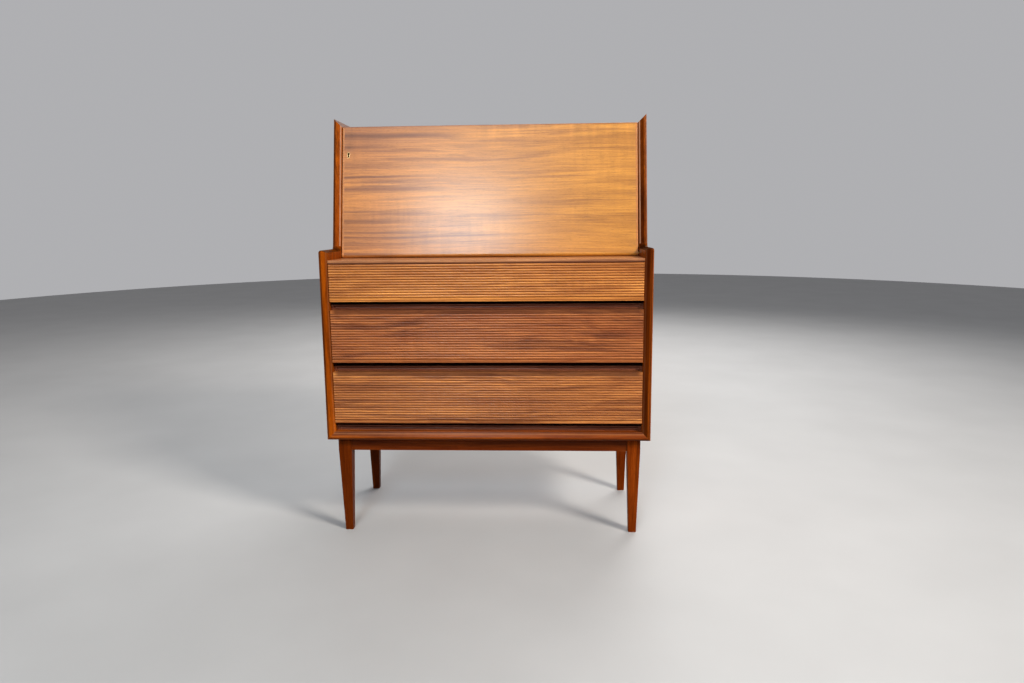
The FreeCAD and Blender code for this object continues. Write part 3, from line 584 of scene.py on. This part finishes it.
def dress_fittings():
    dress(["left_pivot_pin", "right_pivot_pin", "left_pivot_bush", "right_pivot_bush",
           "strike_plate", "lock_screws", "strike_screws"],
          metal("old_brass", (0.62, 0.43, 0.17), 0.34))
    dress(["lock_case", "lock_bolt"], metal("aged_brass", (0.13, 0.085, 0.04), 0.5))
    dress(["runner_screws", "back_panel_screws", "stand_screws"],
          metal("old_steel", (0.42, 0.40, 0.37), 0.42))


# ---- floor ----
FLOOR_RADIUS = 6.6
FLOOR_CENTRE = 3.4               # of the disc, behind the desk
FLOOR_SIDES = 128


def add_floor():
    mesh = bpy.data.meshes.new("floor")
    turns = [2 * math.pi * i / FLOOR_SIDES for i in range(FLOOR_SIDES)]
    rim = [(FLOOR_RADIUS * math.cos(turn), FLOOR_CENTRE + FLOOR_RADIUS * math.sin(turn), 0)
           for turn in turns]
    mesh.from_pydata(rim, [], [range(FLOOR_SIDES)])
    floor = bpy.data.objects.new("floor", mesh)
    bpy.context.scene.collection.objects.link(floor)
    graph = Graph("floor")
    tone = graph.spread(graph.noise(graph.place, 3.0, 3.0), 0.3, 0.7, 0.48, 0.51)
    mesh.materials.append(graph.finish(tone, 0.6))


# ---- keyhole liner ----
KEYHOLE_INSET = 0.016            # in from the flap's left end
KEYHOLE_UP = 0.2673              # above the flap's pivot, along the flap
PIVOT_TO_FACE = 0.007            # flap's pivot behind its outer face
HOLE = (0.0031, 0.00165, 0.0090)     # radius of the head, half width of the slot, its drop
LINER_WIDTH = 0.0009
LINER_PROUD = 0.00012
LINER_DEPTH = 0.0012
HEAD_STEPS = 28


def keyhole_outline(radius, slot, drop):
    """Points of the keyhole's outline about its round head, in the plane of the flap."""
    start = math.asin(slot / radius)
    turns = [start - math.pi / 2 + (2 * math.pi - 2 * start) * i / HEAD_STEPS
             for i in range(HEAD_STEPS + 1)]
    points = [(radius * math.cos(turn), radius * math.sin(turn)) for turn in turns]
    return points + [(-slot, -drop), (slot, -drop)]


def add_keyhole_liner():
    """A thin brass liner let into the flap around the keyhole."""
    inner = keyhole_outline(*HOLE)
    outer = keyhole_outline(*(measure + LINER_WIDTH for measure in HOLE))
    low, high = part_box("left_pivot_pin")
    along = Vector((0, math.sin(LEAN), math.cos(LEAN)))
    outward = Vector((0, -math.cos(LEAN), math.sin(LEAN)))
    left_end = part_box("flap_panel")[0].x
    pivot = Vector((left_end + KEYHOLE_INSET, (low.y + high.y) / 2, (low.z + high.z) / 2))
    head = pivot + along * KEYHOLE_UP + outward * PIVOT_TO_FACE
    rings = ((inner, -LINER_DEPTH), (inner, LINER_PROUD), (outer, LINER_PROUD),
             (outer, -LINER_DEPTH))
    points = [head + Vector((x, 0, 0)) + along * up + outward * rise
              for outline, rise in rings for x, up in outline]
    count = len(inner)
    faces = []
    for a in range(0, 3 * count, count):
        for i in range(count):
            j = (i + 1) % count
            faces.append((a + i, a + j, a + count + j, a + count + i))
    mesh = bpy.data.meshes.new("keyhole_liner")
    mesh.from_pydata(points, [], faces)
    mesh.materials.append(metal("liner_brass", (0.80, 0.60, 0.30), 0.28))
    liner = bpy.data.objects.new("keyhole_liner", mesh)
    bpy.context.scene.collection.objects.link(liner)
    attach(liner, "flap")


add_camera()
add_lights()
add_room()
add_floor()
dress_case()
dress_flap()
dress_stand()
dress_drawers()
dress_fittings()
add_keyhole_liner()
